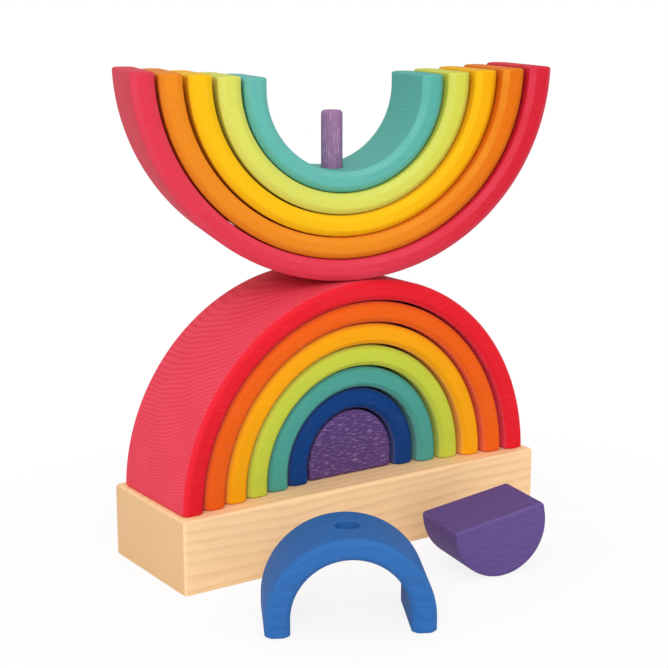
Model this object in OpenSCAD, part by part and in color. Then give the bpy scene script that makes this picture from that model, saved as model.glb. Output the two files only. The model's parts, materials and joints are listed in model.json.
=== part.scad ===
// Wooden rainbow stacker: two rainbows of nested arches on one peg, crown to crown.
// The lower rainbow stands on the base, the upper one is turned over and rests on it.
// The upper rainbow's last arch and its core block lie beside the base.
// Millimetres, +Z up, origin at the middle of the base's bottom face, front towards -Y.

/* [Base] */
// Length of the base block
base_w = 240; // [220:1:320]
// Depth of the base block
base_d = 80; // [72:1:120]
// Height of the base block
base_h = 41; // [32:1:60]
// Rounding of the base block's edges
base_edge_r = 2; // [1:0.5:6]

/* [Peg] */
// Diameter of the peg
peg_d = 12; // [8:0.5:16]
// Length of the peg that stands out of the upper rainbow
peg_free = 32; // [20:0.5:45]
// Depth of the peg's socket in the base
socket_depth = 25; // [15:1:30]
// Chamfer at the peg's tip
peg_tip_c = 1.5; // [0.5:0.25:2.5]
// Radial room of the peg in its socket
socket_room = 0.05; // [0.02:0.01:0.1]
// Radial room of the pieces on the peg
bore_room = 0.5; // [0.3:0.05:0.8]

/* [Core blocks] */
// Width of a core block
core_w = 56; // [46:1:66]
// Height of the core block on the peg, from its flat face to its crown
core_h = 37.5; // [34:0.5:44]
// Height of the loose core block
loose_core_h = 34; // [30:0.5:44]
// Depth of a core block
core_d = 40; // [28:1:46]
// Chamfer along a core block's front and back edges
core_edge_c = 1.2; // [0.5:0.1:2.5]
// Depth of the blind bore in the loose core block
blind_depth = 22; // [12:1:28]

/* [Arches] */
// Thickness of an arch's legs
leg_t = 12.8; // [10:0.2:16]
// Thickness of an arch's crown
crown_t = 11.5; // [9:0.5:15]
// Gap between the legs of neighbouring arches
side_gap = 2; // [1.2:0.1:3]
// Gap between the crowns of neighbouring arches that stand on the base
crown_gap = 1.3; // [0.5:0.1:2]
// Gap between the core block's crown and the arch over it
core_gap = 1.3; // [0.5:0.1:6]
// Growth in depth from one arch to the next one outside it
depth_step = 5; // [3:0.2:7]
// Chamfer along an arch's front and back edges
edge_c = 2.5; // [1:0.25:3.5]

/* [Upper rainbow] */
// Turn of the upper red arch about the peg, in degrees
upper_turn = -18; // [-45:0.5:45]
// Lag of the upper orange arch behind the red one, in degrees
orange_lag = 0.5; // [-2:0.25:2]
// Lag of the upper yellow arch behind the orange one, in degrees
yellow_lag = 1.75; // [-2:0.25:2]
// Lag of the upper green arch behind the yellow one, in degrees
green_lag = 2; // [-2:0.25:2]
// Lag of the upper teal arch behind the green one, in degrees
teal_lag = 0.25; // [-2:0.25:2]
// Gap left where an upper arch rests on the crown under it
seat_gap = 0.3; // [0.2:0.05:0.5]

/* [Loose pieces] */
// Place of the loose arch along the base
loose_arch_x = -66; // [-90:1:-40]
// Clear distance of the loose arch from the base's front
loose_arch_front = 30.5; // [15:0.5:60]
// Turn of the loose arch, in degrees
loose_arch_turn = -29; // [-60:1:60]
// Place of the loose block along the base
loose_block_x = 39; // [30:1:90]
// Clear distance of the loose block from the base's front
loose_block_front = 27; // [15:1:60]
// Turn of the loose block, in degrees
loose_block_turn = -9.5; // [-45:0.5:45]
// Roll of the loose block on its round side, in degrees
loose_block_roll = 10; // [-20:1:20]

/* [Hidden] */
$fn = 96;
// Overshoot of a cut past the face that it leaves through
cut = 1;

// The rings of a rainbow from the core block outwards, and the stain of each
RINGS = ["purple", "blue", "teal", "green", "yellow", "orange", "red"];
STAINS = [
    [0.36, 0.26, 0.47], [0.09, 0.26, 0.53], [0.31, 0.65, 0.59], [0.78, 0.82, 0.27],
    [0.97, 0.64, 0.10], [0.93, 0.38, 0.13], [0.89, 0.13, 0.18]
];
BARE_WOOD = [0.98, 0.80, 0.60];
// Lag of each upper ring behind the next one outside it
LAGS = [0, 0, teal_lag, green_lag, yellow_lag, orange_lag, 0];

bore_d = peg_d + 2 * bore_room;
upper_seat_z = base_h + crown_h(ring("red")) + seat_gap;
peg_foot_z = base_h - socket_depth;
peg_tip_z = upper_crown_z(ring("teal")) + crown_t + peg_free;
// The chamfers leave at least half of an arch's wall flat
edge = min(edge_c, min(leg_t, crown_t) / 4);

// Number of a ring, counted outwards from the core block
function ring(colour) = search([colour], RINGS)[0];

// Half the width of a ring at its feet
function half_w(n) = core_w / 2 + n * (leg_t + side_gap);

// Height of a ring from its feet to the top of its crown
function crown_h(n) = n == ring("purple")
    ? core_h
    : core_h + core_gap + crown_t + (n - 1) * (crown_t + crown_gap);

// Depth of a ring from front to back
function ring_d(n) = core_d + n * depth_step;

// Height of the lowest point of an upper ring, where its crown rests
function upper_crown_z(n) = upper_seat_z + (ring("red") - n) * (crown_t + seat_gap);

// Largest lag that keeps an upper ring clear of the next one outside it, with some room to spare
function free_lag(n) =
    0.85 * asin(sqrt(pow(side_gap, 2) - pow(side_gap - seat_gap, 2)) / (ring_d(n) / 2 - edge));

// Turn of an upper ring about the peg
function ring_turn(n) = n == ring("red")
    ? upper_turn
    : ring_turn(n + 1) + max(-free_lag(n), min(free_lag(n), LAGS[n]));

// How far a turned piece reaches to the front and to the back of its middle
function reach_y(half_length, half_depth, turn) =
    half_length * abs(sin(turn)) + half_depth * abs(cos(turn));

// Solid under a round-topped outline: a half disc on two upright sides, with chamfered front and back
module round_top(half, h, d, c) {
    rise = h - half;
    rim = [[0, -d / 2], [half - c, -d / 2], [half, c - d / 2], [half, d / 2 - c], [half - c, d / 2], [0, d / 2]];
    sides = [for (p = rim) if (p[0] > 0) p];
    foot = concat(sides, [for (i = [len(sides) - 1:-1:0]) [-sides[i][0], sides[i][1]]]);
    intersection() {
        union() {
            translate([0, 0, rise])
                rotate([90, 0, 0])
                    rotate_extrude(angle = 180) polygon(rim);
            if (rise > 0)
                linear_extrude(rise) polygon(foot);
        }
        if (rise < 0)
            translate([-half - cut, -d, 0]) cube([2 * (half + cut), 2 * d, h + cut]);
        else
            translate([-half - cut, -d, -cut]) cube([2 * (half + cut), 2 * d, h + 2 * cut]);
    }
}

// Room under an arch: the same outline, flared at the front and the back
module round_top_room(half, h, d, c) {
    rise = h - half;
    flare = half + c + cut;
    over = d / 2 + cut;
    rim = [[0, -over], [flare, -over], [half, c - d / 2], [half, d / 2 - c], [flare, over], [0, over]];
    sides = [for (p = rim) if (p[0] > 0) p];
    foot = concat(sides, [for (i = [len(sides) - 1:-1:0]) [-sides[i][0], sides[i][1]]]);
    translate([0, 0, rise])
        rotate([90, 0, 0])
            rotate_extrude(angle = 180) polygon(rim);
    if (rise > -cut)
        translate([0, 0, -cut]) linear_extrude(rise + cut) polygon(foot);
}

// One arch of the rainbow on its feet, bored through its crown for the peg
module arch(colour) {
    n = ring(colour);
    half = half_w(n);
    h = crown_h(n);
    d = ring_d(n);
    color(STAINS[n])
        difference() {
            round_top(half, h, d, edge);
            round_top_room(half - leg_t, h - crown_t, d, edge);
            translate([0, 0, h - crown_t - leg_t]) cylinder(d = bore_d, h = crown_t + leg_t + cut);
        }
}

// A half-round core on its flat face, bored from its crown to the given depth
module core_block(h, depth) {
    color(STAINS[ring("purple")])
        difference() {
            round_top(core_w / 2, h, core_d, core_edge_c);
            translate([0, 0, h - depth]) cylinder(d = bore_d, h = depth + cut);
        }
}

module lower_arch(colour) {
    translate([0, 0, base_h]) arch(colour);
}

module upper_arch(colour) {
    n = ring(colour);
    translate([0, 0, upper_crown_z(n) + crown_h(n)])
        rotate([180, 0, ring_turn(n)])
            arch(colour);
}

module rounded_rectangle(w, d, r) {
    square([w - 2 * r, d], center = true);
    square([w, d - 2 * r], center = true);
    for (x = [-1, 1], y = [-1, 1])
        translate([x * (w / 2 - r), y * (d / 2 - r)]) circle(r);
}

// Softwood block, rounded along every edge, with a blind socket for the peg
module base() {
    socket_d = peg_d + 2 * socket_room;
    color(BARE_WOOD)
        difference() {
            intersection() {
                linear_extrude(base_h) rounded_rectangle(base_w, base_d, base_edge_r);
                translate([0, base_d / 2, base_h / 2])
                    rotate([90, 0, 0])
                        linear_extrude(base_d) rounded_rectangle(base_w, base_h, base_edge_r);
                translate([-base_w / 2, 0, base_h / 2])
                    rotate([90, 0, 90])
                        linear_extrude(base_w) rounded_rectangle(base_d, base_h, base_edge_r);
            }
            translate([0, 0, peg_foot_z]) cylinder(d = socket_d, h = socket_depth + cut);
        }
}

// Round peg through both rainbows, seated in the base
module dowel() {
    r = peg_d / 2;
    color(STAINS[ring("purple")])
        rotate_extrude()
            polygon([
                [0, peg_foot_z], [r, peg_foot_z], [r, peg_tip_z - peg_tip_c], [r - peg_tip_c, peg_tip_z], [0, peg_tip_z]
            ]);
}

module lower_purple_block() {
    translate([0, 0, base_h]) core_block(core_h, core_h + cut);
}

module lower_blue_arch() {
    lower_arch("blue");
}

module lower_teal_arch() {
    lower_arch("teal");
}

module lower_green_arch() {
    lower_arch("green");
}

module lower_yellow_arch() {
    lower_arch("yellow");
}

module lower_orange_arch() {
    lower_arch("orange");
}

module lower_red_arch() {
    lower_arch("red");
}

module upper_red_arch() {
    upper_arch("red");
}

module upper_orange_arch() {
    upper_arch("orange");
}

module upper_yellow_arch() {
    upper_arch("yellow");
}

module upper_green_arch() {
    upper_arch("green");
}

module upper_teal_arch() {
    upper_arch("teal");
}

// The upper rainbow's blue arch, standing on its feet in front of the base
module loose_blue_arch() {
    n = ring("blue");
    reach = reach_y(half_w(n), ring_d(n) / 2, loose_arch_turn);
    translate([loose_arch_x, -base_d / 2 - loose_arch_front - reach, 0])
        rotate([0, 0, loose_arch_turn])
            arch("blue");
}

// The upper rainbow's core, lying on its round side in front of the base
module loose_purple_block() {
    r = core_w / 2;
    reach = reach_y(r, core_d / 2, loose_block_turn);
    translate([loose_block_x, -base_d / 2 - loose_block_front - reach, r])
        rotate([0, -loose_block_roll, loose_block_turn])
            translate([0, 0, loose_core_h - r])
                rotate([180, 0, 0])
                    core_block(loose_core_h, blind_depth);
}

base();
dowel();
lower_purple_block();
lower_blue_arch();
lower_teal_arch();
lower_green_arch();
lower_yellow_arch();
lower_orange_arch();
lower_red_arch();
upper_red_arch();
upper_orange_arch();
upper_yellow_arch();
upper_green_arch();
upper_teal_arch();
loose_blue_arch();
loose_purple_block();
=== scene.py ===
"""Wooden rainbow stacker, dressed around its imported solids.

Every arch comes from one Geometry Nodes tree with its own sizes, and every piece is wood whose
growth rings and fibres show through the stain. Metres, +Z up, front towards -Y.
"""

import json
import math
from typing import NamedTuple

import bmesh
import bpy
from bpy.props import FloatProperty, FloatVectorProperty, IntProperty, PointerProperty
from bpy.types import Operator, Panel, PropertyGroup
from mathutils import Color, Matrix, Vector


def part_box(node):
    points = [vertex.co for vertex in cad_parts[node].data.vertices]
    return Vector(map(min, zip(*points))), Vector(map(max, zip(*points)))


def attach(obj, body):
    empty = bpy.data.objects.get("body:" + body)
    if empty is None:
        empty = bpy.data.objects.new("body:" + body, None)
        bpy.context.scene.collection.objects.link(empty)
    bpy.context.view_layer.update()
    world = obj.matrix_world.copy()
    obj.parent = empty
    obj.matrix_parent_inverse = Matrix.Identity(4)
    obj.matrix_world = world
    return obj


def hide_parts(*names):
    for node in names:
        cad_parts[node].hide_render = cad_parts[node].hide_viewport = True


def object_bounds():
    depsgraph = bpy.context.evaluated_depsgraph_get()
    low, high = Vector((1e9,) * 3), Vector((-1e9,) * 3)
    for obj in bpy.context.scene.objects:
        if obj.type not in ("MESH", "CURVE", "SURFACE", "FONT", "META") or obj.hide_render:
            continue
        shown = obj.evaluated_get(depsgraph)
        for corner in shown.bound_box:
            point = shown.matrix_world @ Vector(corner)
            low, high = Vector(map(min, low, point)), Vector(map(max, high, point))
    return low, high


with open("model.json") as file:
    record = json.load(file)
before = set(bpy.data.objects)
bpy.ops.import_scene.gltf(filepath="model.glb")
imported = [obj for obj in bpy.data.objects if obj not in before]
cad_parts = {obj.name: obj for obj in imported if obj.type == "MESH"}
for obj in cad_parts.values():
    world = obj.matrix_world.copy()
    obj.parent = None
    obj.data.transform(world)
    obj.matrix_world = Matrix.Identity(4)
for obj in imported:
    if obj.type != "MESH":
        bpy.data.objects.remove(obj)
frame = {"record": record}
CAD_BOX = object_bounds()

bl_info = {
    "name": "Rainbow Stacker",
    "version": (1, 0, 0),
    "blender": (4, 5, 0),
    "location": "View3D > Sidebar > Stacker",
    "description": "Builds a wooden rainbow stacker from its frame, with its stains and its studio",
    "category": "Add Mesh",
}

MM = 0.001

# Rings of a rainbow from the core block outwards, and those of the upper rainbow from its lowest arch up
RINGS = ("purple", "blue", "teal", "green", "yellow", "orange", "red")
UPPER_RINGS = ("red", "orange", "yellow", "green", "teal")

# Fineness of the meshes
EDGE_POINTS = 3  # on each softened side of a chamfer
STATION_CROWDING = 0.9  # 0 spaces an arch's sections evenly, 1 crowds them at its feet
HOLE_SIDES = 72
PEG_SIDES = 64
TIP_STEPS = 6
BEVEL_SEGMENTS = 4

# What is rounded, shaded as sharp or shaded as flat
BEVEL_ANGLE = math.radians(50)
SHARP_ANGLE = math.radians(35)
LEVEL_NORMAL = 0.999  # a face is flat and level where its normal's Z is more

# Drilling
DRILL_OVERRUN = 20 * MM  # how far the drill sticks out of a mouth
SOCKET_ROOM = 0.05 * MM  # between the socket's wall and the peg
RIGHT_THROUGH = 1.1  # depth of a bore through a whole piece, in heights of the piece

# Where a mark on the wood, the painted highlight or the painted sheen sets in and where it is full, by the
# slant of the surface
WEAR_AND_HIGHLIGHT_RANGE = (0.4, 0.95)
BEND_RANGE = (0.4, 0.75)
END_GRAIN_RANGE = (0.6, 0.95)
FOOT_BAND = 1.5  # height of the worn band at a foot, in roundings of the foot

# Shades of a stain, and of the painted highlight, sheen and shade laid over it
GRAIN_DARKNESS = 0.74
PALE_POWER = 0.84  # for worn edges, which also carry a painted highlight
FALLOFF_SHADE_POWER = 1.33  # for the painted shade towards +X, away from the key lamp
# A pale pinkish colour: painted sheen on bent faces, standing in for the light's reflection there, and also
# the colour of the light flecks in the wood
SHEEN_AND_FLECK_COLOUR = (1.0, 0.65, 1.0)
SHEEN_AND_FLECK_SHARE = 0.3

# How strongly the marks show, from 0 to 1 or between two shares
CLOUD_SHARE = 0.12
WEAR_AND_HIGHLIGHT_PATCHES = (0.3, 0.7)  # where the clouds are thin, and where they are thick
RING_PATCHES = (0.75, 1.25)  # the same for the growth rings
END_GRAIN_LOSS = 0.5  # of the growth rings
SHEENED_PIECE_RINGS = (0.25, 1.0)  # on the front of a piece with a painted sheen, and on its bent faces
FALLOFF_SHADE_REACH = (0.0, 110.0)  # of the painted shade, along the piece's own X, in millimetres

# Surface of the wood
ROUGHNESS = (0.56, 0.7)  # of clear wood, and of fibres
GLOSS = 0.07
FIBRE_DEPTH = 0.5  # share of the relief
RING_DEPTH = 0.3  # share of the relief
RELIEF = 0.12 * MM
RELIEF_STRENGTH = 0.35

# Floor
FLOOR_HALF = 6.0  # of its width
FLOOR_DROP = 0.2 * MM  # under the pieces
FLOOR_COLOUR = (0.95, 0.95, 0.95)
SHADOW_FADE = (0.14, 0.3)  # from the middle of the pieces
SHADOW_WHITE = 0.85  # share of white over the shadow near the pieces
WHITE = (1.0, 1.0, 1.0)

# How far a dressed piece may lie from the box of the node that it stands for
FIT_TOLERANCE = 0.6 * MM


class Pattern(NamedTuple):
    """A noise in the wood: its waves in a millimetre along X, Y and Z, and its detail.

    Where it is a mark, shows has the values at which it sets in and at which it is full.
    """

    waves: tuple
    detail: float
    shows: tuple = ()


# Growth rings sway slowly and ripple finely, by these sizes in millimetres, and the marks lie over them
SWAY = Pattern(waves=(0.006, 0.022, 0.022), detail=2.0)
SWAY_SIZE = 12.0
RIPPLE = Pattern(waves=(0.04, 0.12, 0.12), detail=1.0)
RIPPLE_SIZE = 1.2
FIBRES = Pattern(waves=(0.05, 1.5, 1.5), detail=3.0, shows=(0.34, 0.68))
FLECKS = Pattern(waves=(0.2, 1.1, 1.4), detail=2.0, shows=(0.52, 0.7))
CLOUDS = Pattern(waves=(0.03, 0.05, 0.05), detail=2.0, shows=(0.3, 0.7))

# The part of a year in which the wood starts to darken, and the part in which it is darkest
DARKENING = 0.3
LATE_WOOD = 0.86


class Timber(NamedTuple):
    """The wood that a piece is cut from, with its grain along the piece's own X.

    The pith is the middle of the growth rings, in millimetres. Each ring takes the same area, so the
    rings lie closer far from the pith: ring_area is the square of the first ring's radius. rings,
    fibres and flecks say how strongly each of them shows. The other shares lay on a painted sheen, a
    pale pinkish haze on bent faces that stands in for the reflection of the light; darken the end
    grain; paint shade that makes the stain richer and darker towards +X, away from the key lamp; and
    lighten the edges, which are partly worn and partly carry a painted highlight.
    """

    pith_y: float
    pith_z: float
    ring_area: float
    seed: float
    rings: float
    fibres: float
    flecks: float
    painted_sheen: float = 0.0
    soak: float = 0.0
    painted_falloff_shade: float = 0.0
    wear_and_highlight: float = 1.0


# The lower and upper pieces carry a painted sheen on their bent faces, and the upper pieces painted shade
# towards +X
LOWER_TIMBER = Timber(pith_y=34, pith_z=190, ring_area=640, seed=1, rings=0.36, fibres=0.12, flecks=0.05,
                      painted_sheen=0.3, wear_and_highlight=0.2)
CORE_TIMBER = Timber(pith_y=34, pith_z=190, ring_area=640, seed=3, rings=0.3, fibres=0.3, flecks=0.75)
UPPER_TIMBER = Timber(pith_y=-20, pith_z=-150, ring_area=800, seed=7, rings=0.28, fibres=0.12, flecks=0.05,
                      painted_sheen=0.04, painted_falloff_shade=1.0)
ARCH_TIMBER = Timber(pith_y=-120, pith_z=50, ring_area=700, seed=9, rings=0.3, fibres=0.2, flecks=0.05,
                     wear_and_highlight=0.3)
BLOCK_TIMBER = Timber(pith_y=60, pith_z=140, ring_area=900, seed=11, rings=0.2, fibres=0.2, flecks=0.12)
PEG_TIMBER = Timber(pith_y=30, pith_z=12, ring_area=110, seed=13, rings=0.4, fibres=0.6, flecks=0.9)
BASE_TIMBER = Timber(pith_y=80, pith_z=-102, ring_area=1250, seed=19, rings=0.36, fibres=0.03, flecks=0.0,
                     soak=0.8)


def node_size(node):
    """Width, depth and height of a node in the frame."""
    low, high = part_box(node)
    return high - low


def mount(name):
    """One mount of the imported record."""
    return next(m for m in frame["record"]["mounts"] if m["name"] == name)


def lower_node(ring):
    """The node of the lower rainbow that has this ring's colour."""
    return f"lower_{ring}_{'block' if ring == 'purple' else 'arch'}"


# Sizes that the frame gives
CAD_MIDDLE = (Vector(CAD_BOX[0]) + Vector(CAD_BOX[1])) / 2
ARCH_BORE = mount("loose_arch_bore")
BLOCK_BORE = mount("loose_block_bore")
HOLE_RADIUS = ARCH_BORE["dims"]["r_mm"] * MM
CROWN_THICKNESS = ARCH_BORE["dims"]["length_mm"] * MM
BLIND_DEPTH = BLOCK_BORE["dims"]["length_mm"] * MM
CORE_SIZE = node_size("lower_purple_block")
CORE_RADIUS = CORE_SIZE.x / 2
RING_PITCH = (node_size("lower_teal_arch").x - node_size("lower_blue_arch").x) / 2
BASE_LOW, BASE_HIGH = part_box("base")
BASE_MIDDLE = (BASE_LOW + BASE_HIGH) / 2
PEG_LOW, PEG_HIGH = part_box("dowel")
PEG_RADIUS = (PEG_HIGH.x - PEG_LOW.x) / 2


def length(name, description, millimetres):
    """A size that a user may change."""
    return FloatProperty(name=name, description=description, default=millimetres * MM, min=0.0,
                         subtype="DISTANCE", unit="LENGTH", precision=5)


def angle(name, description, degrees):
    """An angle that a user may change."""
    return FloatProperty(name=name, description=description, default=math.radians(degrees),
                         subtype="ANGLE", unit="ROTATION")


def place_in_room(name, description, metres):
    """A place that a user may change."""
    return FloatVectorProperty(name=name, description=description, default=metres, size=3,
                               subtype="TRANSLATION", unit="LENGTH")


def stain(name, red, green, blue):
    """A colour that a user may change, as a screen shows it, from 0 to 255."""
    return FloatVectorProperty(name=name, description=f"Colour of the {name.lower()}", size=3,
                               default=(red / 255, green / 255, blue / 255), min=0.0, max=1.0,
                               subtype="COLOR_GAMMA")


class StackerSizes(PropertyGroup):
    """Sizes of the finish that the frame doesn't hold."""

    leg_gap: length("Leg gap", "Room between the legs of neighbouring arches", 2.0)
    chamfer: length("Chamfer", "Chamfer along an arch's front and back edges", 2.5)
    upper_chamfer: length("Upper chamfer", "Chamfer along an upper arch's edges", 3.4)
    edge_round: length("Edge rounding", "Radius that softens the sides of a chamfer", 1.6)
    foot_round: length("Foot rounding", "Radius along the edges of an arch's feet", 1.5)
    core_round: length("Core rounding", "Rounding of a core block's edges", 2.2)
    base_round: length("Base rounding", "Rounding of the base's upright and upper edges", 2.2)
    base_foot_round: length("Base foot rounding", "Rounding of the base's lower edges", 0.8)
    tip_round: length("Peg tip rounding", "Rounding of the peg's tip", 2.0)
    mouth_round: length("Hole mouth", "Width of the broken edge round a hole", 0.6)
    stations: IntProperty(name="Stations", description="Sections along one arch", default=129, min=33)
    core_stations: IntProperty(name="Core stations", description="Sections along a core block's round",
                               default=37, min=9)
    red_turn: angle("Red turn", "Turn of the upper red arch about the peg", -18.0)
    orange_turn: angle("Orange turn", "Turn of the upper orange arch about the peg", -17.5)
    yellow_turn: angle("Yellow turn", "Turn of the upper yellow arch about the peg", -15.75)
    green_turn: angle("Green turn", "Turn of the upper green arch about the peg", -13.75)
    teal_turn: angle("Teal turn", "Turn of the upper teal arch about the peg", -13.5)
    loose_turn: angle("Loose arch turn", "Turn of the loose arch about its hole", -29.0)


class StackerStains(PropertyGroup):
    """Colours of the pieces."""

    lower_purple: stain("Lower purple block", 92, 66, 122)
    lower_blue: stain("Lower blue arch", 16, 62, 126)
    lower_teal: stain("Lower teal arch", 78, 160, 148)
    lower_green: stain("Lower green arch", 198, 209, 68)
    lower_yellow: stain("Lower yellow arch", 248, 167, 12)
    lower_orange: stain("Lower orange arch", 238, 98, 20)
    lower_red: stain("Lower red arch", 230, 30, 44)
    upper_red: stain("Upper red arch", 217, 55, 75)
    upper_orange: stain("Upper orange arch", 229, 134, 28)
    upper_yellow: stain("Upper yellow arch", 241, 185, 14)
    upper_green: stain("Upper green arch", 212, 214, 93)
    upper_teal: stain("Upper teal arch", 97, 178, 168)
    loose_blue: stain("Loose blue arch", 50, 107, 175)
    loose_purple: stain("Loose purple block", 101, 80, 140)
    peg: stain("Peg", 160, 122, 162)
    base: stain("Base", 255, 213, 162)


class StackerStudio(PropertyGroup):
    """Camera and light."""

    eye: place_in_room("Camera place", "Where the camera stands", (-0.4764, -0.7018, 0.3060))
    heading: angle("Camera heading", "Turn of the view, where 0 looks along +Y", -34.254)
    pitch: angle("Camera pitch", "How far the view looks down", 12.423)
    lens: FloatProperty(name="Lens", description="Focal length on a 36 mm frame", default=81.87,
                        min=1.0, unit="CAMERA")
    ambient: FloatProperty(name="Ambient", description="Strength of the light from all round",
                           default=0.76, min=0.0)
    key_power: FloatProperty(name="Key power", description="Power of the large soft lamp", default=25.0,
                             min=0.0, unit="POWER")
    key_size: length("Key size", "Width of the large soft lamp", 1400.0)
    key_place: place_in_room("Key place", "Where the large soft lamp hangs", (-1.15, -1.6, 1.5))


class Wire:
    """A node's output that arithmetic works on: each operation adds one Math node."""

    def __init__(self, tree, socket):
        self.tree = tree
        self.socket = socket

    def __add__(self, other):
        return maths(self.tree, "ADD", self, other)

    def __sub__(self, other):
        return maths(self.tree, "SUBTRACT", self, other)

    def __rsub__(self, other):
        return maths(self.tree, "SUBTRACT", other, self)

    def __mul__(self, other):
        return maths(self.tree, "MULTIPLY", self, other)

    def __truediv__(self, other):
        return maths(self.tree, "DIVIDE", self, other)

    def __abs__(self):
        return maths(self.tree, "ABSOLUTE", self)

    def less(self, other):
        """1 where this is below other, and otherwise 0."""
        return maths(self.tree, "LESS_THAN", self, other)

    def more(self, other):
        """1 where this is above other, and otherwise 0."""
        return maths(self.tree, "GREATER_THAN", self, other)

    def sin(self):
        return maths(self.tree, "SINE", self)

    def cos(self):
        return maths(self.tree, "COSINE", self)

    def root(self):
        return maths(self.tree, "SQRT", self)

    def fraction(self):
        return maths(self.tree, "FRACT", self)

    def at_least(self, other):
        return maths(self.tree, "MAXIMUM", self, other)

    def at_most(self, other):
        return maths(self.tree, "MINIMUM", self, other)

    def smooth(self, low, high):
        """0 below low, 1 above high and a soft step between them."""
        settings = {"Value": self, "From Min": low, "From Max": high}
        node = add(self.tree, "ShaderNodeMapRange", settings, interpolation_type="SMOOTHSTEP")
        return Wire(self.tree, node.outputs["Result"])


def feed(tree, socket, value):
    """Links a wire, or a node's first output, to a socket, or sets the socket's own value."""
    if isinstance(value, Wire):
        tree.links.new(value.socket, socket)
    elif isinstance(value, bpy.types.Node):
        tree.links.new(value.outputs[0], socket)
    else:
        socket.default_value = value


def add(tree, kind, inputs=None, **settings):
    """Adds a node, with its settings first and its inputs by name or number after them."""
    node = tree.nodes.new(kind)
    for name, value in settings.items():
        setattr(node, name, value)
    for name, value in (inputs or {}).items():
        feed(tree, node.inputs[name], value)
    return node


def maths(tree, operation, *values):
    """One Math node, as a wire."""
    node = add(tree, "ShaderNodeMath", dict(enumerate(values)), operation=operation)
    return Wire(tree, node.outputs[0])


def between(share, low, high):
    """low where share is 0, high where it is 1 and a blend of them in the middle."""
    return share * (high - low) + low


def pick(flag, chosen, other):
    """chosen where flag is 1, other where it is 0."""
    return between(flag, other, chosen)


def distance(across, along):
    """Distance from the origin of a point whose two coordinates are wires."""
    return (across * across + along * along).root()


def parts_of(tree, vector):
    """X, Y and Z of a vector as three wires."""
    node = add(tree, "ShaderNodeSeparateXYZ", {"Vector": vector})
    return [Wire(tree, socket) for socket in node.outputs]


def given_to(tree):
    """A tree's inputs as wires, by name."""
    source = tree.nodes.new("NodeGroupInput")
    return {socket.name: Wire(tree, socket) for socket in source.outputs if socket.name}


def geometry_tree(name, others, lengths):
    """A Geometry Nodes tree with named inputs. Returns it, its output node and its inputs as wires."""
    tree = bpy.data.node_groups.new(name, "GeometryNodeTree")
    tree.interface.new_socket("Geometry", in_out="OUTPUT", socket_type="NodeSocketGeometry")
    inputs = {**others, **dict.fromkeys(lengths, "NodeSocketFloat")}
    for label, kind in inputs.items():
        tree.interface.new_socket(label, in_out="INPUT", socket_type=kind)
    return tree, tree.nodes.new("NodeGroupOutput"), given_to(tree)


def outline_reach(radius, rise, turn):
    """Distance from the middle of the feet to a round-topped outline, in the direction turn."""
    tiny = 1e-6
    across = abs(turn.cos())
    up = turn.sin()
    on_round = rise * up + (radius * radius - rise * across * rise * across).root()
    on_leg = radius / across.at_least(tiny)
    is_leg = (radius * up).less(rise * across)
    return pick(is_leg, on_leg, on_round)


def arch_tree():
    """An arch on its feet: a chamfered bar, swept straight and then bent between its two outlines."""
    tree, output, size = geometry_tree("arch", {"Stations": "NodeSocketInt"}, (
        "Half Width", "Crown Height", "Depth", "Leg Thickness", "Crown Thickness", "Chamfer",
        "Edge Rounding", "Foot Rounding"))
    half, crown, leg = size["Half Width"], size["Crown Height"], size["Leg Thickness"]
    foot = size["Foot Rounding"]

    section = add(tree, "GeometryNodeCurvePrimitiveQuadrilateral", {"Width": leg, "Height": size["Depth"]})
    for radius, points in ((size["Chamfer"], 1), (size["Edge Rounding"], EDGE_POINTS)):
        section = add(tree, "GeometryNodeFilletCurve", {
            "Curve": section, "Count": points, "Radius": radius, "Limit Radius": True}, mode="POLY")
    path = add(tree, "GeometryNodeCurvePrimitiveLine", {"End": (0.0, 0.0, 1.0)})
    path = add(tree, "GeometryNodeResampleCurve", {"Curve": path, "Count": size["Stations"]})
    bar = add(tree, "GeometryNodeCurveToMesh", {"Curve": path, "Profile Curve": section, "Fill Caps": True})

    # The bar's height becomes a turn round the middle of the feet, with its stations crowded at both feet
    inward, depth, along = parts_of(tree, add(tree, "GeometryNodeInputPosition"))
    crowding = (along * math.tau).sin() * (STATION_CROWDING / math.tau)
    turn = (along - crowding) * math.pi

    # Near the ground the section is tucked in all round, which rounds the foot's edges
    over_foot = (half - leg * 0.5) * turn.sin()
    short = (foot - over_foot).at_least(0.0)
    tuck = foot - (foot * foot - short * short).at_least(0.0).root()

    is_outer = inward.less(0.0)
    inset = leg * 0.5 - abs(inward) + tuck
    room_half = half - leg
    radius = pick(is_outer, half - inset, room_half + inset)
    rise = pick(is_outer, crown - half, crown - size["Crown Thickness"] - room_half)
    reach = outline_reach(radius, rise, turn)
    narrowed = depth * (1.0 - tuck * 2.0 / size["Depth"])
    place = add(tree, "ShaderNodeCombineXYZ", {
        "X": reach * turn.cos() * -1.0, "Y": narrowed, "Z": reach * turn.sin()})
    bent = add(tree, "GeometryNodeSetPosition", {"Geometry": bar, "Position": place})
    feed(tree, output.inputs["Geometry"], bent)


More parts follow.
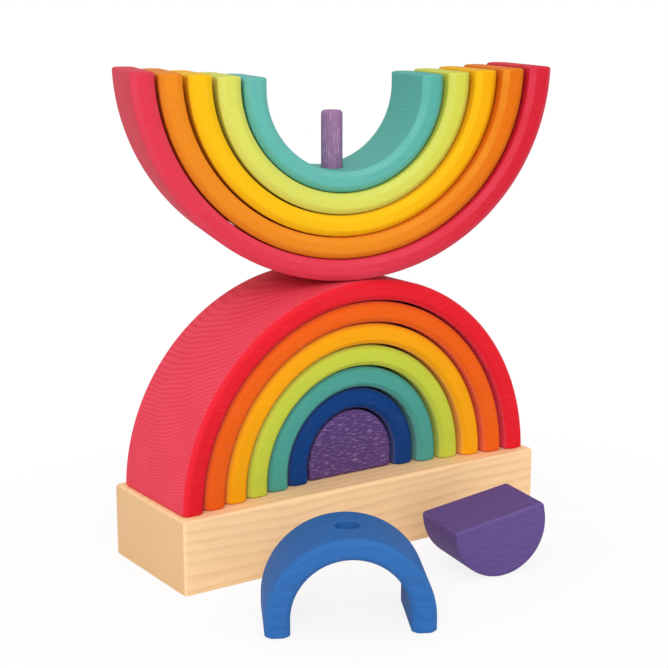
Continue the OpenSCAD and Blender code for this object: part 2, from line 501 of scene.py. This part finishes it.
def core_tree():
    """A half-round block on its flat face: the outline of an arch's room, filled from front to back."""
    tree, output, size = geometry_tree(
        "core", {"Stations": "NodeSocketInt"}, ("Half Width", "Crown Height", "Depth"))
    line = add(tree, "GeometryNodeCurvePrimitiveLine", {"End": (0.0, 0.0, 1.0)})
    line = add(tree, "GeometryNodeResampleCurve", {"Curve": line, "Count": size["Stations"]})
    along = parts_of(tree, add(tree, "GeometryNodeInputPosition"))[2]
    turn = along * math.pi
    reach = outline_reach(size["Half Width"], size["Crown Height"] - size["Half Width"], turn)
    place = add(tree, "ShaderNodeCombineXYZ", {"X": reach * turn.cos(), "Y": reach * turn.sin()})
    outline = add(tree, "GeometryNodeSetPosition", {"Geometry": line, "Position": place})
    outline = add(tree, "GeometryNodeSetSplineCyclic", {"Geometry": outline, "Cyclic": True})

    front = add(tree, "ShaderNodeCombineXYZ", {"Z": size["Depth"] * -0.5})
    back = add(tree, "ShaderNodeCombineXYZ", {"Z": size["Depth"] * 0.5})
    path = add(tree, "GeometryNodeCurvePrimitiveLine", {"Start": front, "End": back})
    block = add(tree, "GeometryNodeCurveToMesh", {
        "Curve": path, "Profile Curve": outline, "Fill Caps": True})
    upright = add(tree, "GeometryNodeTransform", {"Geometry": block, "Rotation": (math.pi / 2, 0.0, 0.0)})
    feed(tree, output.inputs["Geometry"], upright)


def finish_tree():
    """Bores the hole for the peg, marks the wood for its stain and for its painted highlight and sheen, and
    sets the shading and the material.
    """
    tree, output, size = geometry_tree(
        "finish", {"Geometry": "NodeSocketGeometry", "Material": "NodeSocketMaterial"},
        ("Hole Radius", "Hole Top", "Hole Bottom", "Mouth", "Foot"))
    hole, top, bottom, mouth = size["Hole Radius"], size["Hole Top"], size["Hole Bottom"], size["Mouth"]

    def raised(geometry, height):
        place = add(tree, "ShaderNodeCombineXYZ", {"Z": height})
        return add(tree, "GeometryNodeTransform", {"Geometry": geometry, "Translation": place})

    def shaded(geometry, smooth, domain, selection=True):
        return add(tree, "GeometryNodeSetShadeSmooth", {
            "Geometry": geometry, "Selection": selection, "Shade Smooth": smooth}, domain=domain)

    drill = add(tree, "GeometryNodeMeshCylinder", {
        "Vertices": HOLE_SIDES, "Radius": hole, "Depth": top + DRILL_OVERRUN - bottom})
    reamer = add(tree, "GeometryNodeMeshCone", {
        "Vertices": HOLE_SIDES, "Radius Top": hole + mouth * 2.0, "Radius Bottom": hole,
        "Depth": mouth * 2.0})
    bored = add(tree, "GeometryNodeMeshBoolean", operation="DIFFERENCE", solver="EXACT")
    feed(tree, bored.inputs["Mesh 1"], size["Geometry"])
    feed(tree, bored.inputs["Mesh 2"], raised(drill, (top + DRILL_OVERRUN + bottom) * 0.5))
    feed(tree, bored.inputs["Mesh 2"], raised(reamer, top - mouth))

    x, y, z = parts_of(tree, add(tree, "GeometryNodeInputPosition"))
    facing = parts_of(tree, add(tree, "GeometryNodeInputNormal"))
    clear_of_hole = distance(x, y).more(hole + mouth * 2.0)
    on_chamfer = (1.0 - abs(facing[1] * facing[1] * 2.0 - 1.0)) * clear_of_hole
    on_foot = (1.0 - abs(facing[2] * facing[2] * 2.0 - 1.0)) * z.less(size["Foot"])
    # The edge mark is partly worn edges and partly painted highlight along chamfers and feet; the bend mark
    # picks the bent faces, where a painted sheen may lie
    marks = {
        "edge_wear": on_chamfer.at_least(on_foot).smooth(*WEAR_AND_HIGHLIGHT_RANGE),
        "bend": 1.0 - abs(facing[1]).smooth(*BEND_RANGE),
        "end_grain": abs(facing[0]).smooth(*END_GRAIN_RANGE),
    }
    marked = bored
    for name, share in marks.items():
        marked = add(tree, "GeometryNodeStoreNamedAttribute", {
            "Geometry": marked, "Name": name, "Value": share}, data_type="FLOAT", domain="POINT")

    edge_angle = Wire(tree, add(tree, "GeometryNodeInputMeshEdgeAngle").outputs["Unsigned Angle"])
    shown = shaded(marked, True, "FACE")
    shown = shaded(shown, False, "FACE", abs(facing[2]).more(LEVEL_NORMAL))
    shown = shaded(shown, False, "EDGE", edge_angle.more(SHARP_ANGLE))
    real = add(tree, "GeometryNodeRealizeInstances", {"Geometry": shown})
    stained = add(tree, "GeometryNodeSetMaterial", {"Geometry": real, "Material": size["Material"]})
    feed(tree, output.inputs["Geometry"], stained)


def grain_group():
    """Growth rings round the pith, long fibres, short light flecks and soft clouds of stain.

    Takes millimetres in a piece's own axes.
    """
    tree = bpy.data.node_groups.new("wood_grain", "ShaderNodeTree")
    tree.interface.new_socket("Vector", in_out="INPUT", socket_type="NodeSocketVector")
    for label in ("Pith Y", "Pith Z", "Ring Area", "Seed"):
        tree.interface.new_socket(label, in_out="INPUT", socket_type="NodeSocketFloat")
    for label in ("Rings", "Fibres", "Flecks", "Clouds"):
        tree.interface.new_socket(label, in_out="OUTPUT", socket_type="NodeSocketFloat")
    output = tree.nodes.new("NodeGroupOutput")
    given = given_to(tree)

    def noise(pattern):
        scaled = add(tree, "ShaderNodeVectorMath", {0: given["Vector"], 1: pattern.waves},
                     operation="MULTIPLY")
        node = add(tree, "ShaderNodeTexNoise", {
            "Vector": scaled, "W": given["Seed"], "Scale": 1.0, "Detail": pattern.detail},
            noise_dimensions="4D")
        return Wire(tree, node.outputs[0])

    y, z = parts_of(tree, given["Vector"])[1:]
    from_pith = distance(y - given["Pith Y"], z - given["Pith Z"])
    grown = from_pith + noise(SWAY) * SWAY_SIZE + noise(RIPPLE) * RIPPLE_SIZE
    year = (grown * grown / given["Ring Area"]).fraction()
    rings = year.smooth(DARKENING, LATE_WOOD) * (1.0 - year.smooth(LATE_WOOD, 1.0))
    feed(tree, output.inputs["Rings"], rings)
    for label, pattern in {"Fibres": FIBRES, "Flecks": FLECKS, "Clouds": CLOUDS}.items():
        feed(tree, output.inputs[label], noise(pattern).smooth(*pattern.shows))


def screen_to_light(colour):
    """A colour as a screen shows it, turned into the linear one that shaders take."""
    return tuple(Color(colour).from_srgb_to_scene_linear())


def in_the_grain(colour):
    """A colour as the dark of the grain shows it, where its weak channels lose the most."""
    return tuple(c * GRAIN_DARKNESS ** (1.5 - c / 2) for c in colour)


def raised_to(colour, power):
    """A colour that is paler with a power below 1, and richer with one above 1."""
    return tuple(c ** power for c in colour)


def mixed(one, other, share):
    """A colour between two, with share of the other."""
    return tuple(a + (b - a) * share for a, b in zip(one, other))


def opaque(colour):
    """A colour with full alpha."""
    return (*colour, 1.0)


def tint(tree, under, colour, share):
    """Lays a colour over what is under it, by a share that a wire gives."""
    node = add(tree, "ShaderNodeMix", {"Factor": share}, data_type="RGBA")
    under_socket, colour_socket = [s for s in node.inputs if s.type == "RGBA"][:2]
    feed(tree, under_socket, under)
    feed(tree, colour_socket, opaque(colour))
    return Wire(tree, next(s for s in node.outputs if s.type == "RGBA"))


def empty_material(name):
    """A new material and its tree, with no nodes yet."""
    material = bpy.data.materials.new(name)
    material.use_nodes = True
    material.node_tree.nodes.clear()
    return material, material.node_tree


def object_axes(tree):
    """Object coordinates as a wire."""
    return Wire(tree, add(tree, "ShaderNodeTexCoord").outputs["Object"])


def wood(name, colour, place, timber):
    """Stained wood, cut from the timber in the piece's own axes, paler at its edges, which are partly worn
    and partly carry a painted highlight, and with the painted sheen and painted shade that the timber asks
    for.
    """
    material, tree = empty_material(name)
    base = screen_to_light(colour)
    deep = in_the_grain(base)
    # Paler for edges that are partly worn and partly painted highlight; richer and darker for painted shade
    # towards +X; pale pink for the painted sheen on bent faces and for the light flecks
    pale = raised_to(base, PALE_POWER)
    falloff_shade = raised_to(base, FALLOFF_SHADE_POWER)
    sheen_and_fleck = mixed(base, SHEEN_AND_FLECK_COLOUR, SHEEN_AND_FLECK_SHARE)

    own_axes = add(tree, "ShaderNodeMapping", {
        "Vector": object_axes(tree), "Location": tuple(place.translation),
        "Rotation": tuple(place.to_euler()), "Scale": (MM, MM, MM)}, vector_type="TEXTURE")
    grain = add(tree, "ShaderNodeGroup", node_tree=bpy.data.node_groups["wood_grain"])
    for label, value in {"Vector": own_axes, "Pith Y": timber.pith_y, "Pith Z": timber.pith_z,
                         "Ring Area": timber.ring_area, "Seed": timber.seed}.items():
        feed(tree, grain.inputs[label], value)
    rings, fibres, flecks, clouds = [Wire(tree, socket) for socket in grain.outputs]
    wear_and_highlight, bend, end_grain = [
        Wire(tree, add(tree, "ShaderNodeAttribute", attribute_name=mark).outputs["Fac"])
        for mark in ("edge_wear", "bend", "end_grain")]

    # Pieces with a painted sheen show their rings on bent faces, and the others in patches and less on the
    # end grain
    if timber.painted_sheen:
        ring_show = between(bend, *SHEENED_PIECE_RINGS)
    else:
        ring_show = between(clouds, *RING_PATCHES) - end_grain * END_GRAIN_LOSS
    towards_x = parts_of(tree, own_axes)[0].smooth(*FALLOFF_SHADE_REACH)
    under = opaque(base)
    # Laid over the stain in turn: painted sheen on bent faces, painted shade towards +X, darker end grain,
    # rings, fibres, clouds, light flecks, and paler edges that are partly worn and partly painted highlight
    for over, share in (
        (sheen_and_fleck, bend * timber.painted_sheen),
        (falloff_shade, towards_x * timber.painted_falloff_shade),
        (deep, end_grain * timber.soak),
        (deep, rings * ring_show * timber.rings),
        (deep, fibres * timber.fibres),
        (deep, clouds * CLOUD_SHARE),
        (sheen_and_fleck, flecks * timber.flecks),
        (pale, wear_and_highlight * between(clouds, *WEAR_AND_HIGHLIGHT_PATCHES) * timber.wear_and_highlight),
    ):
        under = tint(tree, under, over, share)

    height = fibres * -FIBRE_DEPTH - rings * RING_DEPTH
    bump = add(tree, "ShaderNodeBump", {"Height": height, "Strength": RELIEF_STRENGTH, "Distance": RELIEF})
    shader = add(tree, "ShaderNodeBsdfPrincipled", {
        "Base Color": under, "Roughness": between(fibres, *ROUGHNESS), "Specular IOR Level": GLOSS,
        "Normal": bump})
    add(tree, "ShaderNodeOutputMaterial", {"Surface": shader})
    return material


def work_object(name, mesh=None):
    """An object to hang modifiers on, which baked() turns into a piece."""
    holder = bpy.data.objects.new(name + "_work", mesh or bpy.data.meshes.new(name + "_work"))
    bpy.context.scene.collection.objects.link(holder)
    return holder


def run_tree(holder, name, values):
    """Adds a Geometry Nodes modifier and sets its inputs by their identifiers."""
    tree = bpy.data.node_groups[name]
    modifier = holder.modifiers.new(name, "NODES")
    modifier.node_group = tree
    for item in tree.interface.items_tree:
        if item.in_out == "INPUT" and item.name in values:
            modifier[item.identifier] = values[item.name]


def add_bevel(holder, width, limit="ANGLE"):
    """Rounds the edges of a worked object."""
    bevel = holder.modifiers.new("rounding", "BEVEL")
    bevel.width = width
    bevel.segments = BEVEL_SEGMENTS
    bevel.limit_method = limit
    bevel.angle_limit = BEVEL_ANGLE


def finish(holder, material, hole, top, bottom, sizes):
    """Bores a worked object from top to bottom, shades it and gives it its material."""
    run_tree(holder, "finish", {
        "Hole Radius": hole, "Hole Top": top, "Hole Bottom": bottom, "Mouth": sizes.mouth_round,
        "Foot": sizes.foot_round * FOOT_BAND, "Material": material})


def check_fit(piece, node):
    """Stops if a piece doesn't fill the box of the node that it stands for."""
    corners = [v.co for v in piece.data.vertices]
    if not corners:
        raise RuntimeError(f"{piece.name} has no mesh")
    low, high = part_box(node)
    for axis in range(3):
        ends = min(c[axis] for c in corners), max(c[axis] for c in corners)
        if max(abs(ends[0] - low[axis]), abs(ends[1] - high[axis])) > FIT_TOLERANCE:
            raise RuntimeError(f"{piece.name} reaches from {ends[0]:.5f} to {ends[1]:.5f} on axis {axis}, "
                               f"and {node} from {low[axis]:.5f} to {high[axis]:.5f}")


def baked(node, body, holder, place):
    """The plain mesh of a worked object, moved to its place, riding on its body instead of the node."""
    depsgraph = bpy.context.evaluated_depsgraph_get()
    mesh = bpy.data.meshes.new_from_object(holder.evaluated_get(depsgraph), depsgraph=depsgraph)
    bpy.data.objects.remove(holder)
    mesh.transform(place)
    mesh.name = node + "_wood"
    piece = bpy.data.objects.new(node + "_wood", mesh)
    bpy.context.scene.collection.objects.link(piece)
    check_fit(piece, node)
    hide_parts(node)
    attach(piece, body)


def make_arch(node, ring, colour, place, timber, chamfer, sizes):
    """One arch of a rainbow at its place."""
    size = node_size(lower_node(ring))
    holder = work_object(node)
    run_tree(holder, "arch", {
        "Half Width": CORE_RADIUS + RINGS.index(ring) * RING_PITCH, "Crown Height": size.z,
        "Depth": size.y, "Leg Thickness": RING_PITCH - sizes.leg_gap, "Crown Thickness": CROWN_THICKNESS,
        "Chamfer": chamfer, "Edge Rounding": sizes.edge_round, "Foot Rounding": sizes.foot_round,
        "Stations": sizes.stations})
    in_the_room = size.z - 2 * CROWN_THICKNESS
    finish(holder, wood(node + "_stain", colour, place, timber), HOLE_RADIUS, size.z, in_the_room, sizes)
    baked(node, node, holder, place)


def make_core(node, height, hole_depth, colour, place, timber, sizes):
    """A half-round core block at its place, bored from its crown."""
    holder = work_object(node)
    run_tree(holder, "core", {
        "Half Width": CORE_RADIUS, "Crown Height": height, "Depth": CORE_SIZE.y,
        "Stations": sizes.core_stations})
    add_bevel(holder, sizes.core_round)
    finish(holder, wood(node + "_stain", colour, place, timber), HOLE_RADIUS, height, height - hole_depth,
           sizes)
    baked(node, node, holder, place)


def block_mesh(name, low, high, foot_share):
    """A box between two corners. Its lower edges take only a share of the rounding."""
    block = bmesh.new()
    bmesh.ops.create_cube(block, size=1.0)
    bmesh.ops.scale(block, vec=high - low, verts=block.verts)
    bmesh.ops.translate(block, vec=(low + high) / 2, verts=block.verts)
    weight = block.edges.layers.float.new("bevel_weight_edge")
    for edge in block.edges:
        is_low = all(v.co.z < low.z + MM for v in edge.verts)
        edge[weight] = foot_share if is_low else 1.0
    mesh = bpy.data.meshes.new(name)
    block.to_mesh(mesh)
    block.free()
    return mesh


def lathe(name, profile, sides):
    """A closed solid of revolution about Z from (radius, height) points, with flat ends."""
    turned = bmesh.new()
    spots = [2 * math.pi * i / sides for i in range(sides)]
    rings = []
    for radius, height in profile:
        points = [(radius * math.cos(a), radius * math.sin(a), height) for a in spots]
        rings.append([turned.verts.new(point) for point in points])
    for low, high in zip(rings, rings[1:]):
        for i in range(sides):
            j = (i + 1) % sides
            turned.faces.new((low[i], low[j], high[j], high[i])).smooth = True
    turned.faces.new(reversed(rings[0]))
    turned.faces.new(rings[-1])
    mesh = bpy.data.meshes.new(name)
    turned.to_mesh(mesh)
    turned.free()
    return mesh


def upper_place(node, turn):
    """An upper arch hangs feet up, turned about the peg."""
    return (Matrix.Translation((0.0, 0.0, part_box(node)[1].z))
            @ Matrix.Rotation(turn, 4, "Z") @ Matrix.Rotation(math.pi, 4, "X"))


def loose_arch_place(turn):
    """The loose arch stands on its feet, turned about its hole."""
    x, y = ARCH_BORE["pos_m"][:2]
    return Matrix.Translation((x, y, 0.0)) @ Matrix.Rotation(turn, 4, "Z")


def loose_block_place():
    """The loose block's place and height: it lies on its round side, with its bore as the frame says."""
    axis = Vector(BLOCK_BORE["axis"])
    centre = Vector(BLOCK_BORE["pos_m"]) - axis * (CORE_RADIUS - BLIND_DEPTH / 2)
    roll = math.asin(math.hypot(axis.x, axis.y))
    turn = math.atan2(axis.y, axis.x)
    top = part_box("loose_purple_block")[1].z
    height = CORE_RADIUS + (top - centre.z - CORE_RADIUS * math.sin(roll)) / math.cos(roll)
    place = (Matrix.Translation(centre) @ Matrix.Rotation(turn, 4, "Z") @ Matrix.Rotation(-roll, 4, "Y")
             @ Matrix.Rotation(math.pi, 4, "X") @ Matrix.Translation((0.0, 0.0, CORE_RADIUS - height)))
    return place, height


class STACKER_OT_trees(Operator):
    """Builds the node trees that the pieces share"""

    bl_idname = "stacker.trees"
    bl_label = "Node trees"

    def execute(self, context):
        arch_tree()
        core_tree()
        finish_tree()
        grain_group()
        return {"FINISHED"}


class STACKER_OT_base(Operator):
    """Builds the softwood base with the socket for the peg"""

    bl_idname = "stacker.base"
    bl_label = "Base"

    def execute(self, context):
        sizes, stains = context.scene.stacker_sizes, context.scene.stacker_stains
        foot_share = sizes.base_foot_round / sizes.base_round
        holder = work_object("base", block_mesh("base_work", BASE_LOW, BASE_HIGH, foot_share))
        add_bevel(holder, sizes.base_round, limit="WEIGHT")
        softwood = wood("base_stain", stains.base, Matrix.Translation(BASE_MIDDLE), BASE_TIMBER)
        finish(holder, softwood, PEG_RADIUS + SOCKET_ROOM, BASE_HIGH.z, PEG_LOW.z, sizes)
        baked("base", "stand", holder, Matrix.Identity(4))
        return {"FINISHED"}


class STACKER_OT_peg(Operator):
    """Builds the turned peg with its rounded tip"""

    bl_idname = "stacker.peg"
    bl_label = "Peg"

    def execute(self, context):
        sizes, stains = context.scene.stacker_sizes, context.scene.stacker_stains
        soft = sizes.tip_round
        profile = [(PEG_RADIUS, PEG_LOW.z)]
        for step in range(TIP_STEPS + 1):
            swing = step / TIP_STEPS * math.pi / 2
            out, up = soft * math.cos(swing), soft * math.sin(swing)
            profile.append((PEG_RADIUS - soft + out, PEG_HIGH.z - soft + up))
        holder = work_object("dowel", lathe("dowel_work", profile, PEG_SIDES))
        upright = Matrix.Rotation(-math.pi / 2, 4, "Y")
        holder.data.materials.append(wood("dowel_stain", stains.peg, upright, PEG_TIMBER))
        baked("dowel", "stand", holder, Matrix.Identity(4))
        return {"FINISHED"}


class STACKER_OT_lower_rainbow(Operator):
    """Builds the core block and the arches that stand on the base"""

    bl_idname = "stacker.lower_rainbow"
    bl_label = "Lower rainbow"

    def execute(self, context):
        sizes, stains = context.scene.stacker_sizes, context.scene.stacker_stains
        place = Matrix.Translation((0.0, 0.0, BASE_HIGH.z))
        make_core(lower_node("purple"), CORE_SIZE.z, CORE_SIZE.z * RIGHT_THROUGH, stains.lower_purple,
                  place, CORE_TIMBER, sizes)
        for ring in RINGS[1:]:
            colour = getattr(stains, "lower_" + ring)
            make_arch(lower_node(ring), ring, colour, place, LOWER_TIMBER, sizes.chamfer, sizes)
        return {"FINISHED"}


class STACKER_OT_upper_rainbow(Operator):
    """Builds the arches that hang upside down on the peg"""

    bl_idname = "stacker.upper_rainbow"
    bl_label = "Upper rainbow"

    def execute(self, context):
        sizes, stains = context.scene.stacker_sizes, context.scene.stacker_stains
        for ring in UPPER_RINGS:
            node = f"upper_{ring}_arch"
            colour = getattr(stains, "upper_" + ring)
            place = upper_place(node, getattr(sizes, ring + "_turn"))
            make_arch(node, ring, colour, place, UPPER_TIMBER, sizes.upper_chamfer, sizes)
        return {"FINISHED"}


class STACKER_OT_loose_pieces(Operator):
    """Builds the arch and the core block that lie in front of the base"""

    bl_idname = "stacker.loose_pieces"
    bl_label = "Loose pieces"

    def execute(self, context):
        sizes, stains = context.scene.stacker_sizes, context.scene.stacker_stains
        make_arch("loose_blue_arch", "blue", stains.loose_blue, loose_arch_place(sizes.loose_turn),
                  ARCH_TIMBER, sizes.chamfer, sizes)
        place, height = loose_block_place()
        make_core("loose_purple_block", height, BLIND_DEPTH, stains.loose_purple,
                  place, BLOCK_TIMBER, sizes)
        return {"FINISHED"}


def seen_share(tree):
    """1 for rays that show a surface to the camera, also through gloss or glass."""
    path = add(tree, "ShaderNodeLightPath")
    rays = [Wire(tree, path.outputs[n]) for n in ("Is Camera Ray", "Is Glossy Ray", "Is Transmission Ray")]
    return (rays[0] + rays[1] + rays[2]).at_most(1.0)


class STACKER_OT_studio(Operator):
    """Builds the pale floor, the soft light and the camera"""

    bl_idname = "stacker.studio"
    bl_label = "Studio"

    def execute(self, context):
        studio = context.scene.stacker_studio
        self.lay_floor(context.scene)
        self.light_world(context.scene, studio)
        self.hang_lamp(context.scene, studio)
        self.place_camera(context.scene, studio)
        context.scene.view_settings.view_transform = "Standard"
        return {"FINISHED"}

    def lay_floor(self, scene):
        """A floor that shows white, and a little of the pieces' shadow near them."""
        mesh = bpy.data.meshes.new("floor")
        spots = ((-1, -1), (1, -1), (1, 1), (-1, 1))
        corners = [(FLOOR_HALF * x, FLOOR_HALF * y, -FLOOR_DROP) for x, y in spots]
        mesh.from_pydata(corners, [], [(0, 1, 2, 3)])
        floor = bpy.data.objects.new("floor", mesh)
        scene.collection.objects.link(floor)
        material, tree = empty_material("pale_floor")
        matt = add(tree, "ShaderNodeBsdfDiffuse", {"Color": opaque(FLOOR_COLOUR)})
        white = add(tree, "ShaderNodeEmission", {"Color": opaque(WHITE), "Strength": 1.0})
        x, y = parts_of(tree, object_axes(tree))[:2]
        away = distance(x - CAD_MIDDLE.x, y - CAD_MIDDLE.y).smooth(*SHADOW_FADE)
        whiteness = seen_share(tree) * between(away, SHADOW_WHITE, 1.0)
        shown = add(tree, "ShaderNodeMixShader", {0: whiteness, 1: matt, 2: white})
        add(tree, "ShaderNodeOutputMaterial", {"Surface": shown})
        mesh.materials.append(material)

    def light_world(self, scene, studio):
        """Even light from all round, which shows white."""
        world = bpy.data.worlds.new("studio")
        world.use_nodes = True
        tree = world.node_tree
        tree.nodes.clear()
        strength = between(seen_share(tree), studio.ambient, 1.0)
        light = add(tree, "ShaderNodeBackground", {"Color": opaque(WHITE), "Strength": strength})
        add(tree, "ShaderNodeOutputWorld", {"Surface": light})
        scene.world = world

    def hang_lamp(self, scene, studio):
        """A large soft lamp that points at the middle of the pieces."""
        lamp = bpy.data.lights.new("key", "AREA")
        lamp.energy = studio.key_power
        lamp.size = studio.key_size
        key = bpy.data.objects.new("key", lamp)
        key.location = studio.key_place
        key.rotation_euler = (CAD_MIDDLE - key.location).to_track_quat("-Z", "Y").to_euler()
        scene.collection.objects.link(key)

    def place_camera(self, scene, studio):
        """The camera, level from side to side."""
        camera = bpy.data.cameras.new("camera")
        camera.lens = studio.lens
        view = bpy.data.objects.new("camera", camera)
        view.location = studio.eye
        view.rotation_euler = (math.pi / 2 - studio.pitch, 0.0, studio.heading)
        scene.collection.objects.link(view)
        scene.camera = view


class STACKER_PT_panel(Panel):
    """Lists what the stacker is built from"""

    bl_idname = "STACKER_PT_panel"
    bl_label = "Rainbow Stacker"
    bl_space_type = "VIEW_3D"
    bl_region_type = "UI"
    bl_category = "Stacker"

    def draw(self, context):
        for operator in OPERATORS:
            self.layout.operator(operator.bl_idname)
        for group in GROUPS:
            box = self.layout.box()
            settings = getattr(context.scene, group)
            for name in settings.__annotations__:
                box.prop(settings, name)


GROUPS = {"stacker_sizes": StackerSizes, "stacker_stains": StackerStains, "stacker_studio": StackerStudio}
OPERATORS = (STACKER_OT_trees, STACKER_OT_base, STACKER_OT_peg, STACKER_OT_lower_rainbow,
             STACKER_OT_upper_rainbow, STACKER_OT_loose_pieces, STACKER_OT_studio)


def register():
    for item in (*GROUPS.values(), *OPERATORS, STACKER_PT_panel):
        bpy.utils.register_class(item)
    for name, group in GROUPS.items():
        setattr(bpy.types.Scene, name, PointerProperty(type=group))


def unregister():
    for name in GROUPS:
        delattr(bpy.types.Scene, name)
    for item in (STACKER_PT_panel, *reversed(OPERATORS), *GROUPS.values()):
        bpy.utils.unregister_class(item)


def main():
    register()
    bpy.ops.stacker.trees()
    bpy.ops.stacker.base()
    bpy.ops.stacker.peg()
    bpy.ops.stacker.lower_rainbow()
    bpy.ops.stacker.upper_rainbow()
    bpy.ops.stacker.loose_pieces()
    bpy.ops.stacker.studio()


if __name__ == "__main__":
    main()
